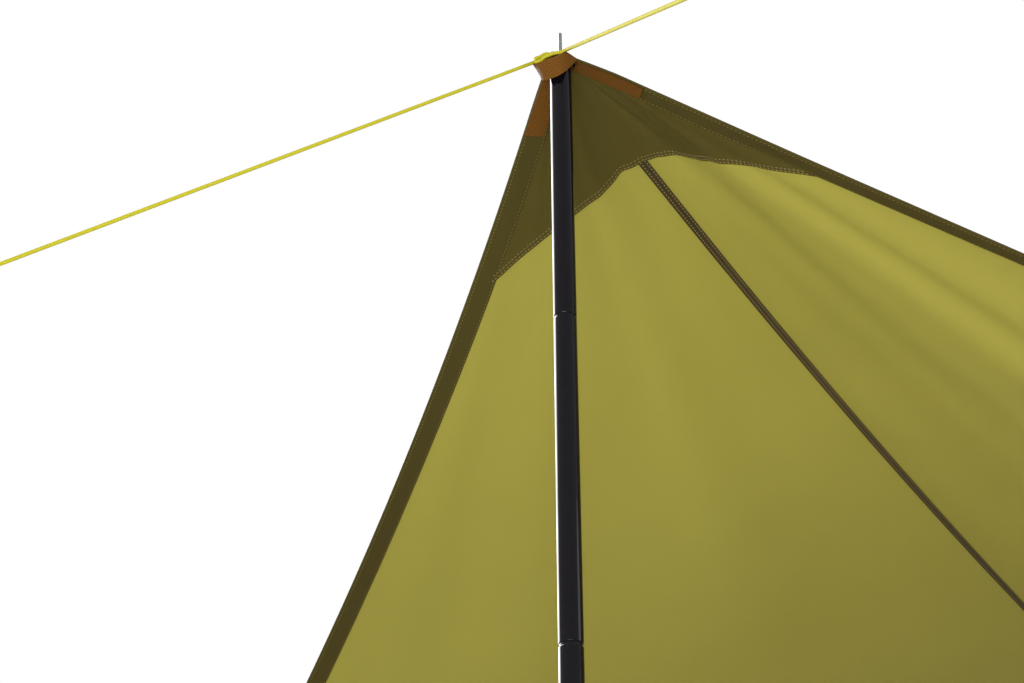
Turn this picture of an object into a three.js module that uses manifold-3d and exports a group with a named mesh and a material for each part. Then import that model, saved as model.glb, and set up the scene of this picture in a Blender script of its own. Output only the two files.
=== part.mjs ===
// Camping tarp: a ridge canopy on two sectional poles, with a pair of guy ropes at the near pole.
// Millimetres, +Z up, the ridge along Y, the near pole at -Y, the origin on the ground midway between the poles.
import * as THREE from "three";
import { mergeVertices } from "three/addons/utils/BufferGeometryUtils.js";
import Module from "manifold-3d";

const wasm = await Module();
wasm.setup();

// Poles
const poleSpacing = 4100;
const poleDiameter = 28;
const poleWall = 1;
const sectionLength = 408;
const topSectionLength = 380;
const sectionCount = 5;
const spigotLength = 60;
const jointChamfer = 0.8;
const pieceGap = 0.3;
const poleSides = 16;
const footWall = 3;
const footHeight = 24;
const plugFlange = 2;
const plugStem = 20;
const pinDiameter = 5;
const pinRise = 51;
const pinDepth = 16;
const pinChamfer = 0.8;
const pinSides = 12;

// Canopy, as it hangs between its two tips and its four side corners
const tipReach = 22.2;
const halfWidth = 1766;
const cornerSetback = 1116;
const cornerDrop = 1121;
const edgeBowIn = 98.5;
const edgeBowUp = 70.4;
const ridgeSag = 108;
const sideSag = 60;
const hangPower = 2.3;
const sideHollow = 70;
const ridgeFlat = 16;
const ridgeFlatFade = 400;
const tipDroop = 7;
const tipDroopReach = 57;
const foldHeight = 9;
const foldCount = 3;
const foldStart = 300;
const foldFull = 1100;

// Cloth layers, counted downwards from the canopy
const canopyThick = 0.8;
const patchThick = 0.6;
const bindingThick = 0.6;
const webbingThick = 1.5;
const layerGap = 0.3;

// Sewn pieces
const bindingWidth = 32;
const tapeWidth = 14;
const patchDepth = 250;
const cornerPatchReach = 260;
const webbingWidth = 30;
const webbingLength = 109;
const hoodClearance = 6;
const strapSlack = 2;
const edgeShareRounds = 6;
const tabLength = 110;

// Eyelets
const eyeletBore = 3.3;
const eyeletRim = 7.2;
const eyeletBarrel = 0.9;
const eyeletFlange = 0.8;
const eyeletSides = 12;
const cornerEyeletInset = 46;

// Guy ropes and their runners
const ropeDiameter = 4.6;
const ropeSides = 8;
const guySpread = THREE.MathUtils.degToRad(44);
const guyFall = THREE.MathUtils.degToRad(33.8);
const guyMeetingRise = 3;
const guyMeetingFore = 1.9;
const guyStartOut = 7.8;
const hitchTurns = 2;
const hitchArcSteps = 3;
const runnerOut = 800;
const strandSpacing = 22;
const runnerThick = 5;
const runnerBorder = 5;
const runnerHoleGap = 0.5;
const knotDiameter = 12;
const knotLength = 14;

const materials = {
  canopy: new THREE.MeshStandardMaterial({ color: 0x97904a, roughness: 0.85, metalness: 0 }),
  patch: new THREE.MeshStandardMaterial({ color: 0x504624, roughness: 0.85, metalness: 0 }),
  binding: new THREE.MeshStandardMaterial({ color: 0x4a4122, roughness: 0.85, metalness: 0 }),
  webbing: new THREE.MeshStandardMaterial({ color: 0x96552a, roughness: 0.8, metalness: 0 }),
  steel: new THREE.MeshStandardMaterial({ color: 0x231e26, roughness: 0.25, metalness: 0.3 }),
  pin: new THREE.MeshStandardMaterial({ color: 0x8c9191, roughness: 0.35, metalness: 1 }),
  black: new THREE.MeshStandardMaterial({ color: 0x16161a, roughness: 0.5, metalness: 0 }),
  rope: new THREE.MeshStandardMaterial({ color: 0xd8c83a, roughness: 0.8, metalness: 0 }),
};

const tarp = new THREE.Group();

function addPiece(name, geometry, material) {
  const mesh = new THREE.Mesh(geometry, material);
  mesh.name = name;
  tarp.add(mesh);
  return mesh;
}

// Joining and cutting closed meshes
function toSolid(geometry) {
  const bare = geometry.clone();
  bare.deleteAttribute("normal");
  bare.deleteAttribute("uv");
  const merged = mergeVertices(bare);
  return new wasm.Manifold(new wasm.Mesh({
    numProp: 3,
    vertProperties: new Float32Array(merged.attributes.position.array),
    triVerts: new Uint32Array(merged.index.array),
  }));
}

function toGeometry(solid) {
  const mesh = solid.getMesh();
  const geometry = new THREE.BufferGeometry();
  geometry.setAttribute("position", new THREE.BufferAttribute(new Float32Array(mesh.vertProperties), 3));
  geometry.setIndex(new THREE.BufferAttribute(new Uint32Array(mesh.triVerts), 1));
  geometry.computeVertexNormals();
  return geometry;
}

function meshOf(vertices, triangles) {
  const geometry = new THREE.BufferGeometry();
  const numbers = vertices.flatMap((point) => [point.x, point.y, point.z]);
  geometry.setAttribute("position", new THREE.Float32BufferAttribute(numbers, 3));
  geometry.setIndex(triangles);
  geometry.computeVertexNormals();
  return geometry;
}

// A closed ring or disc turned about Z, from an outline of [radius, height] pairs
function turned(outline, sides) {
  const points = outline.map(([radius, height]) => new THREE.Vector2(radius, height));
  return new THREE.LatheGeometry(points, sides).rotateX(Math.PI / 2);
}

// Heights of the pole
const poleRadius = poleDiameter / 2;
const poleFootZ = footWall + pieceGap;
const poleTubeTop = poleFootZ + sectionLength * (sectionCount - 1) + topSectionLength;
const plugTaper = (poleRadius - ridgeFlat / 2) * cornerDrop / halfWidth;
const plugTopZ = poleTubeTop + pieceGap + plugFlange + plugTaper;
const poleY = poleSpacing / 2;

// Depths of the cloth layers below the canopy's lower face
const patchTop = -layerGap;
const bindingTop = patchTop - patchThick - layerGap;
const webbingTop = bindingTop - bindingThick - layerGap;

// Shape of the canopy: u runs from the ridge (0) to the side edge (1), w from the near edge (0) to the far one (1)
const ridgeLength = poleSpacing + 2 * tipReach;
const edgePlanLength = Math.hypot(halfWidth, cornerSetback);
const flatShare = ridgeFlat / 2 / halfWidth;

function nearEdgePlan(u) {
  const bow = edgeBowIn * 4 * u * (1 - u);
  const x = halfWidth * u - bow * cornerSetback / edgePlanLength;
  const y = -ridgeLength / 2 + cornerSetback * u + bow * halfWidth / edgePlanLength;
  return new THREE.Vector2(x, y);
}

function mainFolds(x, y) {
  const fromTip = new THREE.Vector2(x, ridgeLength / 2 - Math.abs(y));
  const fan = Math.atan2(halfWidth, cornerSetback);
  const across = Math.min(Math.atan2(fromTip.x, fromTip.y) / fan, 1);
  const rise = THREE.MathUtils.smoothstep(fromTip.length(), foldStart, foldFull);
  const middle = THREE.MathUtils.smoothstep(fromTip.length(), foldFull, ridgeLength / 2);
  const window = Math.sin(Math.PI * across) * rise * (1 - middle);
  return foldHeight * window * Math.sin(2 * Math.PI * foldCount * across);
}

function canopyPoint(u, w) {
  const edge = nearEdgePlan(u);
  const y = edge.y * (1 - 2 * w);
  const x = edge.x - sideHollow * u * u * 4 * w * (1 - w);
  const inFlat = u <= flatShare;
  const along = inFlat ? (1 + 2 * y / ridgeLength) / 2 : w;
  const fromTip = ridgeLength / 2 - Math.abs(y);
  const flat = flatShare * (1 - THREE.MathUtils.smoothstep(fromTip, tipDroopReach, ridgeFlatFade));
  const slope = Math.max(u, flat);
  const sag = ridgeSag + (sideSag - ridgeSag) * u;
  const hang = 1 - Math.abs(1 - 2 * along) ** hangPower;
  const droop = tipDroop * Math.max(0, 1 - fromTip / tipDroopReach);
  const z = -cornerDrop * slope + edgeBowUp * 4 * slope * (1 - slope) - sag * hang - droop;
  return new THREE.Vector3(x, y, z + mainFolds(x, y));
}

// The grid on which every cloth layer lies, so that the layers follow each other's facets
const evenColumns = 18;
const evenRows = 19;

function canopyColumns() {
  const bends = [0, ridgeFlat / 2, bindingWidth, tipDroopReach * halfWidth / cornerSetback];
  const shares = bends.slice(0, -1).map((length) => length / halfWidth);
  const start = bends[bends.length - 1] / halfWidth;
  for (let step = 0; step <= evenColumns; step += 1) {
    shares.push(start + (1 - start) * step / evenColumns);
  }
  return shares;
}

function canopyRows() {
  const start = tipDroopReach / ridgeLength;
  const shares = [0];
  for (let step = 0; step <= evenRows; step += 1) {
    shares.push(start + (1 - 2 * start) * step / evenRows);
  }
  shares.push(1);
  return shares;
}

const columns = canopyColumns();
const rows = canopyRows();

// A closed sheet over the whole canopy between two heights above its lower face
function fullSheet(low, high) {
  const signed = [...columns.slice(1).reverse().map((share) => -share), ...columns];
  const vertices = [];
  for (const height of [low, high]) {
    for (const w of rows) {
      for (const u of signed) {
        const point = canopyPoint(Math.abs(u), w);
        const x = u < 0 ? -point.x : point.x;
        vertices.push(new THREE.Vector3(x, point.y, point.z + tipZ + height));
      }
    }
  }
  const across = signed.length;
  const layer = across * rows.length;
  const at = (column, row, top) => column + row * across + top * layer;
  const triangles = [];
  const quad = (a, b, c, d, turn) => {
    triangles.push(...(turn ? [a, b, d, b, c, d] : [a, b, c, a, c, d]));
  };
  for (let row = 0; row + 1 < rows.length; row += 1) {
    for (let column = 0; column + 1 < across; column += 1) {
      const left = column + 1 < columns.length;
      const near = row < rows.length / 2 - 1;
      const turn = left === near;
      quad(at(column, row, 1), at(column + 1, row, 1), at(column + 1, row + 1, 1), at(column, row + 1, 1), turn);
      quad(at(column, row, 0), at(column, row + 1, 0), at(column + 1, row + 1, 0), at(column + 1, row, 0), turn);
    }
  }
  for (let column = 0; column + 1 < across; column += 1) {
    const last = rows.length - 1;
    quad(at(column, 0, 0), at(column + 1, 0, 0), at(column + 1, 0, 1), at(column, 0, 1), false);
    quad(at(column + 1, last, 0), at(column, last, 0), at(column, last, 1), at(column + 1, last, 1), false);
  }
  for (let row = 0; row + 1 < rows.length; row += 1) {
    const last = across - 1;
    quad(at(0, row + 1, 0), at(0, row, 0), at(0, row, 1), at(0, row + 1, 1), false);
    quad(at(last, row, 0), at(last, row + 1, 0), at(last, row + 1, 1), at(last, row, 1), false);
  }
  return toSolid(meshOf(vertices, triangles));
}

// Heights at the tip: the eyelet's lower flange rests on the pole's plug
const pinShare = tipReach / ridgeLength;
const pinDip = -canopyPoint(0, pinShare).z;
const tipZ = plugTopZ + pieceGap + eyeletFlange + layerGap - (bindingTop - bindingThick) + pinDip;
const canopyAtPin = tipZ - pinDip;

// An upright cutter over a plan outline, tall enough for every layer
const cutterOverrun = 60;
const cutterLow = tipZ - cornerDrop - ridgeSag - cutterOverrun;
const cutterHigh = tipZ + cutterOverrun;

function cutter(outline) {
  const shape = new THREE.Shape(outline);
  const options = { depth: cutterHigh - cutterLow, bevelEnabled: false };
  return toSolid(new THREE.ExtrudeGeometry(shape, options).translate(0, 0, cutterLow));
}

const upward = new THREE.Vector3(0, 0, 1);

function roundCutter(centre, facing, radius) {
  const shape = new THREE.CylinderGeometry(radius, radius, cutterOverrun, eyeletSides).rotateX(Math.PI / 2);
  const turn = new THREE.Quaternion().setFromUnitVectors(upward, facing);
  return toSolid(shape.applyQuaternion(turn).translate(centre.x, centre.y, centre.z));
}

// Mirrors a plan outline to a side (-1 left, 1 right) and an end (-1 near, 1 far), and keeps it anticlockwise
function placed(outline, side, end) {
  const mirrored = outline.map((point) => new THREE.Vector2(point.x * side, -point.y * end));
  return THREE.ShapeUtils.isClockWise(mirrored) ? mirrored.reverse() : mirrored;
}

function edgeNormal(u) {
  const step = 1 / columns.length;
  const ahead = nearEdgePlan(Math.min(u + step, 1));
  const back = nearEdgePlan(Math.max(u - step, 0));
  const along = ahead.sub(back).normalize();
  return new THREE.Vector2(-along.y, along.x);
}

// A strip along the near right edge, from one share of the edge to another
function edgeStrip(from, to, width, steps) {
  const outer = [];
  const inner = [];
  for (let step = 0; step <= steps; step += 1) {
    const u = from + (to - from) * step / steps;
    const edge = nearEdgePlan(u);
    const inward = edgeNormal(u);
    outer.push(edge.clone().addScaledVector(inward, -cutterOverrun));
    inner.push(edge.clone().addScaledVector(inward, width));
  }
  return [...outer, ...inner.reverse()];
}

// Half of the plan beyond the ridge, at a gap from it
function halfPlan(gap) {
  const far = halfWidth + cutterOverrun;
  const long = ridgeLength / 2 + cutterOverrun;
  return [new THREE.Vector2(gap, -long), new THREE.Vector2(far, -long), new THREE.Vector2(far, long),
    new THREE.Vector2(gap, long)];
}

const sides = [["left", -1], ["right", 1]];
const ends = [["near", -1], ["far", 1]];

// The near right corner's eyelet lies flat in one facet of the canopy, in from both edges
function cornerEyeletSeat() {
  const share = 1 - cornerEyeletInset / edgePlanLength;
  const row = cornerEyeletInset / (ridgeLength - 2 * cornerSetback);
  const corner = canopyPoint(1, rows[1]);
  const inward = canopyPoint(columns[columns.length - 2], rows[1]).sub(corner);
  const onward = canopyPoint(1, rows[2]).sub(corner);
  const facing = onward.cross(inward).normalize();
  const centre = canopyPoint(share, row);
  const away = centre.clone().sub(corner);
  centre.z = corner.z - (facing.x * away.x + facing.y * away.y) / facing.z + tipZ;
  return { centre, facing };
}

const cornerEyelet = cornerEyeletSeat();

// Mirrors a point or a direction from the near right corner to another one
function atCorner(vector, side, end) {
  return new THREE.Vector3(vector.x * side, -vector.y * end, vector.z);
}

function eyeletHoles() {
  const radius = eyeletBore + eyeletBarrel + layerGap;
  const cutters = [];
  for (const [, end] of ends) {
    cutters.push(roundCutter(new THREE.Vector3(0, end * poleY, canopyAtPin), upward, radius));
    for (const [, side] of sides) {
      const centre = atCorner(cornerEyelet.centre, side, end);
      cutters.push(roundCutter(centre, atCorner(cornerEyelet.facing, side, end), radius));
    }
  }
  return cutters.reduce((joined, one) => joined.add(one));
}

const holes = eyeletHoles();

function layerSheet(top, thick) {
  return fullSheet(top - thick, top).subtract(holes);
}

const canopySheet = layerSheet(canopyThick, canopyThick);
const patchSheet = layerSheet(patchTop, patchThick);
const bindingSheet = layerSheet(bindingTop, bindingThick);
const webbingSheet = layerSheet(webbingTop, webbingThick);

function makePanels() {
  for (const [side, sign] of sides) {
    const outline = placed(halfPlan(pieceGap / 2), sign, 1);
    addPiece(`canopy_${side}_panel`, toGeometry(canopySheet.intersect(cutter(outline))), materials.canopy);
  }
}

// The tape under the ridge seam, between the two tip patches
function makeSeamTape() {
  const half = tapeWidth / 2;
  const long = ridgeLength / 2 - patchDepth - layerGap;
  const outline = [new THREE.Vector2(-half, -long), new THREE.Vector2(half, -long), new THREE.Vector2(half, long),
    new THREE.Vector2(-half, long)];
  addPiece("ridge_seam_tape", toGeometry(patchSheet.intersect(cutter(outline))), materials.binding);
}

function makeTipPatches() {
  const far = halfWidth;
  const tip = -ridgeLength / 2;
  const outline = [new THREE.Vector2(-far, tip - cutterOverrun), new THREE.Vector2(far, tip - cutterOverrun),
    new THREE.Vector2(far, tip + patchDepth), new THREE.Vector2(-far, tip + patchDepth)];
  for (const [end, sign] of ends) {
    const cut = cutter(placed(outline, 1, sign));
    addPiece(`${end}_apex_patch`, toGeometry(patchSheet.intersect(cut)), materials.patch);
  }
}

function cornerPatchOutline() {
  const corner = nearEdgePlan(1);
  const reachShare = 1 - cornerPatchReach / edgePlanLength;
  const along = nearEdgePlan(reachShare);
  const outward = new THREE.Vector2(cutterOverrun, 0);
  return [along.clone().addScaledVector(edgeNormal(reachShare), -cutterOverrun),
    corner.clone().addScaledVector(edgeNormal(1), -cutterOverrun).add(outward),
    new THREE.Vector2(corner.x + cutterOverrun, corner.y + cornerPatchReach),
    new THREE.Vector2(corner.x - bindingWidth, corner.y + cornerPatchReach),
    along.clone().addScaledVector(edgeNormal(reachShare), bindingWidth)];
}

function makeCornerPatches() {
  const outline = cornerPatchOutline();
  for (const [end, endSign] of ends) {
    for (const [side, sideSign] of sides) {
      const cut = cutter(placed(outline, sideSign, endSign));
      addPiece(`${end}_${side}_corner_patch`, toGeometry(patchSheet.intersect(cut)), materials.patch);
    }
  }
}

function sideStrip(width) {
  const outer = [];
  const inner = [];
  for (const w of rows) {
    const edge = canopyPoint(1, w);
    outer.push(new THREE.Vector2(edge.x + cutterOverrun, edge.y));
    inner.push(new THREE.Vector2(edge.x - width, edge.y));
  }
  return [...outer, ...inner.reverse()];
}

function makeBindings() {
  const ridgeSide = (sign) => cutter(placed(halfPlan(pieceGap / 2), sign, 1));
  const strip = edgeStrip(0, 1, bindingWidth, evenColumns);
  const clearStrip = edgeStrip(0, 1, bindingWidth + pieceGap, evenColumns);
  for (const [side, sideSign] of sides) {
    let sideBinding = bindingSheet.intersect(cutter(placed(sideStrip(bindingWidth), sideSign, 1)));
    for (const [end, endSign] of ends) {
      const cut = cutter(placed(strip, sideSign, endSign));
      const binding = bindingSheet.intersect(cut).intersect(ridgeSide(sideSign));
      addPiece(`${end}_${side}_edge_binding`, toGeometry(binding), materials.binding);
      sideBinding = sideBinding.subtract(cutter(placed(clearStrip, sideSign, endSign)));
    }
    addPiece(`${side}_side_edge_binding`, toGeometry(sideBinding), materials.binding);
  }
}

// A band of webbing through a row of cross lines, each from its outer edge to its inner edge
function ruledBand(lines, thick) {
  const vertices = [];
  lines.forEach(([outer, inner], index) => {
    const back = lines[Math.max(index - 1, 0)];
    const ahead = lines[Math.min(index + 1, lines.length - 1)];
    const middle = (line) => line[0].clone().add(line[1]);
    const along = middle(ahead).sub(middle(back));
    const normal = along.cross(inner.clone().sub(outer)).normalize().multiplyScalar(thick / 2);
    vertices.push(outer.clone().add(normal), inner.clone().add(normal));
    vertices.push(inner.clone().sub(normal), outer.clone().sub(normal));
  });
  const triangles = [0, 1, 2, 0, 2, 3];
  for (let line = 0; line + 1 < lines.length; line += 1) {
    for (let corner = 0; corner < 4; corner += 1) {
      const a = line * 4 + corner;
      const b = line * 4 + (corner + 1) % 4;
      const isFallShorter = vertices[a].distanceTo(vertices[b + 4]) < vertices[b].distanceTo(vertices[a + 4]);
      triangles.push(...(isFallShorter ? [a, a + 4, b + 4, a, b + 4, b] : [a, a + 4, b, b, a + 4, b + 4]));
    }
  }
  const end = (lines.length - 1) * 4;
  triangles.push(end, end + 2, end + 1, end, end + 3, end + 2);
  return meshOf(vertices, triangles);
}

// The hood of webbing that stands out round the front of the pole's top, as shares of its reach and of its width
const hoodReach = poleRadius + hoodClearance;
const hoodPlanShares = [
  { outer: [1.23, -1.45], inner: [1.4, -0.1] },
  { outer: [0.7, -1.55], inner: [0.78, -0.8] },
  { outer: [0, -1.45], inner: [0, -1.05] },
];
const hoodHeightShares = [
  { outer: -0.36, inner: -0.4 },
  { outer: -0.06, inner: -0.72 },
  { outer: 0.04, inner: -0.96 },
];

// Where the flat straps lie along the edges: their start by the pole, their middle and their end
const stripStartShare = 1.65;
const stripStart = hoodReach * stripStartShare;
const stripPlaces = [stripStart, stripStart + webbingLength / 2, stripStart + webbingLength];

// The share of the half width at which the bowed edge has a given distance from the ridge
function edgeShareAt(distance) {
  let share = distance / halfWidth;
  for (let round = 0; round < edgeShareRounds; round += 1) {
    share += (distance - nearEdgePlan(share).x) / halfWidth;
  }
  return share;
}

function canopyHeightAt(plan) {
  const u = edgeShareAt(plan.x);
  return canopyPoint(u, (1 - plan.y / nearEdgePlan(u).y) / 2).z;
}

function stripLine(distance) {
  const u = distance / edgePlanLength;
  const depth = tipZ + webbingTop - webbingThick / 2 - strapSlack;
  const outer = nearEdgePlan(u);
  const inner = nearEdgePlan(u).addScaledVector(edgeNormal(u), webbingWidth);
  return [outer, inner].map((plan) => new THREE.Vector3(plan.x, plan.y, depth + canopyHeightAt(plan)));
}

function hoodLine(index, side) {
  const plan = hoodPlanShares[index];
  const height = hoodHeightShares[index];
  const at = (place, rise) => new THREE.Vector3(side * place[0] * hoodReach, place[1] * hoodReach - poleY,
    plugTopZ + rise * webbingWidth);
  return [at(plan.outer, height.outer), at(plan.inner, height.inner)];
}

function flippedLine(line) {
  return line.map((point) => new THREE.Vector3(-point.x, point.y, point.z));
}

function tipWebbing() {
  const right = [hoodLine(1, 1), hoodLine(0, 1), ...stripPlaces.map(stripLine)];
  const left = right.map(flippedLine).reverse();
  return ruledBand([...left, hoodLine(2, 1), ...right], webbingThick);
}

function makeTipWebbing() {
  const webbing = tipWebbing();
  addPiece("near_apex_webbing", webbing, materials.webbing);
  addPiece("far_apex_webbing", webbing.clone(), materials.webbing).rotation.z = Math.PI;
}

// The webbing tab under each side corner, square across the corner's middle line
function tabOutline() {
  const corner = nearEdgePlan(1);
  const toward = new THREE.Vector2(cornerEyelet.centre.x, cornerEyelet.centre.y).sub(corner).normalize();
  const across = new THREE.Vector2(-toward.y, toward.x).multiplyScalar(webbingWidth / 2);
  const start = corner.clone().addScaledVector(toward, -cutterOverrun);
  const stop = corner.clone().addScaledVector(toward, tabLength);
  return [start.clone().sub(across), stop.clone().sub(across), stop.clone().add(across), start.clone().add(across)];
}

function makeCornerTabs() {
  const outline = tabOutline();
  for (const [end, endSign] of ends) {
    for (const [side, sideSign] of sides) {
      const cut = cutter(placed(outline, sideSign, endSign));
      addPiece(`${end}_${side}_corner_tab`, toGeometry(webbingSheet.intersect(cut)), materials.webbing);
    }
  }
}

// A ring pressed through the cloth, with a flange below and above; zero is the canopy's lower face
function eyeletRing(lowerDepth) {
  const barrel = eyeletBore + eyeletBarrel;
  const top = canopyThick + layerGap;
  return turned([
    [eyeletBore, -lowerDepth - eyeletFlange],
    [eyeletRim, -lowerDepth - eyeletFlange],
    [eyeletRim, -lowerDepth],
    [barrel, -lowerDepth],
    [barrel, top],
    [eyeletRim, top],
    [eyeletRim, top + eyeletFlange],
    [eyeletBore, top + eyeletFlange],
    [eyeletBore, -lowerDepth - eyeletFlange],
  ], eyeletSides);
}

function makeEyelets() {
  const tipRing = eyeletRing(layerGap - bindingTop + bindingThick);
  const cornerRing = eyeletRing(layerGap - webbingTop + webbingThick);
  for (const [end, endSign] of ends) {
    const ring = addPiece(`${end}_apex_eyelet`, tipRing.clone(), materials.black);
    ring.position.set(0, endSign * poleY, canopyAtPin);
    for (const [side, sideSign] of sides) {
      const corner = addPiece(`${end}_${side}_corner_eyelet`, cornerRing.clone(), materials.black);
      corner.quaternion.setFromUnitVectors(upward, atCorner(cornerEyelet.facing, sideSign, endSign));
      corner.position.copy(atCorner(cornerEyelet.centre, sideSign, endSign));
    }
  }
}

// One pole section; every section but the top one ends in a necked spigot
function poleSection(length, hasSpigot) {
  const bore = poleRadius - poleWall;
  const spigot = bore - pieceGap;
  const outline = [
    [bore, 0],
    [poleRadius - jointChamfer, 0],
    [poleRadius, jointChamfer],
    [poleRadius, length - jointChamfer],
    [poleRadius - jointChamfer, length],
  ];
  if (hasSpigot) {
    outline.push([spigot, length]);
    outline.push([spigot, length + spigotLength]);
    outline.push([spigot - poleWall, length + spigotLength]);
    outline.push([spigot - poleWall, length]);
    outline.push([bore, length - 2 * poleWall]);
  } else {
    outline.push([bore, length]);
  }
  outline.push([bore, 0]);
  return turned(outline, poleSides);
}

function footCap() {
  const inner = poleRadius + pieceGap;
  const outer = inner + footWall;
  return turned([
    [0, 0],
    [outer, 0],
    [outer, footHeight],
    [inner, footHeight],
    [inner, footWall],
    [0, footWall],
  ], poleSides);
}

function topPlug() {
  const stem = poleRadius - poleWall - pieceGap;
  const bore = pinDiameter / 2 + pieceGap;
  return turned([
    [0, -plugTaper - plugFlange - plugStem],
    [stem, -plugTaper - plugFlange - plugStem],
    [stem, -plugTaper - plugFlange],
    [poleRadius, -plugTaper - plugFlange],
    [poleRadius, -plugTaper],
    [ridgeFlat / 2, 0],
    [bore, 0],
    [bore, -pinDepth],
    [0, -pinDepth],
  ], poleSides);
}

function topPin() {
  const radius = pinDiameter / 2;
  return turned([
    [0, pieceGap - pinDepth],
    [radius, pieceGap - pinDepth],
    [radius, pinRise - pinChamfer],
    [radius - pinChamfer, pinRise],
    [0, pinRise],
  ], pinSides);
}

function makePoles() {
  for (const [end, sign] of ends) {
    const place = (mesh, height) => mesh.position.set(0, sign * poleY, height);
    place(addPiece(`${end}_pole_foot`, footCap(), materials.black), 0);
    for (let index = 0; index < sectionCount; index += 1) {
      const isTop = index + 1 === sectionCount;
      const section = poleSection(isTop ? topSectionLength : sectionLength, !isTop);
      const mesh = addPiece(`${end}_pole_section_${index + 1}`, section, materials.steel);
      place(mesh, poleFootZ + index * sectionLength);
    }
    place(addPiece(`${end}_pole_plug`, topPlug(), materials.black), plugTopZ);
    place(addPiece(`${end}_pole_pin`, topPin(), materials.pin), plugTopZ);
  }
}

// A tube through hand-chosen points, one ring of the section at each point
class PointPath extends THREE.Curve {
  constructor(points) {
    super();
    this.points = points;
  }

  getPoint(share) {
    const place = share * (this.points.length - 1);
    const index = Math.min(Math.floor(place), this.points.length - 2);
    return this.points[index].clone().lerp(this.points[index + 1], place - index);
  }

  getPointAt(share) {
    return this.getPoint(share);
  }

  getTangentAt(share) {
    const index = Math.round(share * (this.points.length - 1));
    const ahead = this.points[Math.min(index + 1, this.points.length - 1)];
    const back = this.points[Math.max(index - 1, 0)];
    return ahead.clone().sub(back).normalize();
  }
}

function tubeAlong(points, diameter) {
  const section = new THREE.Shape();
  for (let corner = 0; corner < ropeSides; corner += 1) {
    const angle = 2 * Math.PI * corner / ropeSides;
    const x = Math.cos(angle) * diameter / 2;
    const y = Math.sin(angle) * diameter / 2;
    if (corner === 0) {
      section.moveTo(x, y);
    } else {
      section.lineTo(x, y);
    }
  }
  section.closePath();
  const options = { steps: points.length - 1, extrudePath: new PointPath(points) };
  return new THREE.ExtrudeGeometry(section, options);
}

// A guy leg's own frame: along the rope, and level across it away from the other leg
function guyFrame(side) {
  const along = new THREE.Vector3(side * Math.sin(guySpread) * Math.cos(guyFall),
    -Math.cos(guySpread) * Math.cos(guyFall), -Math.sin(guyFall));
  const across = new THREE.Vector3(side * Math.cos(guySpread), Math.sin(guySpread), 0);
  const meeting = new THREE.Vector3(0, -poleY - guyMeetingFore, tipZ + guyMeetingRise);
  const start = meeting.addScaledVector(along, guyStartOut / Math.cos(guyFall));
  return { along, across, start };
}

const runnerPlace = runnerOut / Math.cos(guyFall);

// A leg's route as places along the leg and across it: out past the runner, round the loop and back
const ropeRoute = [
  [0, 0], [60, 0], [160, 0], [280, 0], [400, 0], [520, 0], [640, 0], [760, 0], [880, 0], [1000, 0],
  [1040, 0], [1045.5, 1.5], [1049.5, 5.5], [1051, 11], [1049.5, 16.5], [1045.5, 20.5], [1040, 22],
  [990, 22], [940, 22], [890, 22], [842, 22],
];
const [tailPlace, tailAcross] = ropeRoute.at(-1);

function guyPoint(frame, along, across) {
  return frame.start.clone().addScaledVector(frame.along, along).addScaledVector(frame.across, across);
}

// A flat bar with two holes that the rope's two strands pass through
function runnerBar() {
  const hole = ropeDiameter / 2 + runnerHoleGap;
  const end = hole + runnerBorder;
  const shape = new THREE.Shape();
  shape.absarc(strandSpacing, 0, end, -Math.PI / 2, Math.PI / 2, false);
  shape.absarc(0, 0, end, Math.PI / 2, 3 * Math.PI / 2, false);
  for (const x of [0, strandSpacing]) {
    const bore = new THREE.Path();
    bore.absarc(x, 0, hole, 0, 2 * Math.PI, true);
    shape.holes.push(bore);
  }
  const options = { depth: runnerThick, bevelEnabled: false, curveSegments: ropeSides };
  return new THREE.ExtrudeGeometry(shape, options).translate(0, 0, -runnerThick / 2);
}

function stopperKnot() {
  const radius = knotDiameter / 2;
  const half = knotLength / 2;
  const shoulder = radius * Math.SQRT1_2;
  return turned([
    [0, -half],
    [shoulder, -half],
    [radius, -half + shoulder / 2],
    [radius, half - shoulder / 2],
    [shoulder, half],
    [0, half],
  ], ropeSides);
}

function makeGuyRopes() {
  for (const [side, sign] of sides) {
    const frame = guyFrame(sign);
    const points = ropeRoute.map(([along, across]) => guyPoint(frame, along, across));
    addPiece(`guy_rope_${side}`, tubeAlong(points, ropeDiameter), materials.rope);
    const bar = addPiece(`runner_${side}`, runnerBar(), materials.black);
    const up = frame.along.clone().cross(frame.across);
    bar.quaternion.setFromRotationMatrix(new THREE.Matrix4().makeBasis(frame.across, up, frame.along));
    bar.position.copy(guyPoint(frame, runnerPlace, 0));
    const knot = addPiece(`stopper_knot_${side}`, stopperKnot(), materials.rope);
    knot.quaternion.setFromUnitVectors(upward, frame.along);
    knot.position.copy(guyPoint(frame, tailPlace - pieceGap - knotLength / 2, tailAcross));
  }
}

// The turns of rope round the pin, standing on the eyelet's upper flange
function ropeHitch() {
  const radius = ropeDiameter / 2;
  const centre = pinDiameter / 2 + pieceGap + radius;
  const outline = [];
  for (const [side, first] of [[1, -Math.PI / 2], [-1, Math.PI / 2]]) {
    for (let turn = 0; turn < hitchTurns; turn += 1) {
      const level = side > 0 ? turn : hitchTurns - 1 - turn;
      const low = turn === 0 ? 0 : 1;
      for (let step = low; step < hitchArcSteps + (turn + 1 < hitchTurns ? 0 : 1); step += 1) {
        const angle = first + Math.PI * step / hitchArcSteps;
        outline.push([centre + radius * Math.cos(angle), radius * Math.sin(angle) + (2 * level + 1) * radius]);
      }
    }
  }
  outline.push(outline[0]);
  return turned(outline, pinSides);
}

function makeHitch() {
  const hitch = addPiece("guy_rope_hitch", ropeHitch(), materials.rope);
  hitch.position.set(0, -poleY, canopyAtPin + canopyThick + layerGap + eyeletFlange + pieceGap);
}

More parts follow.
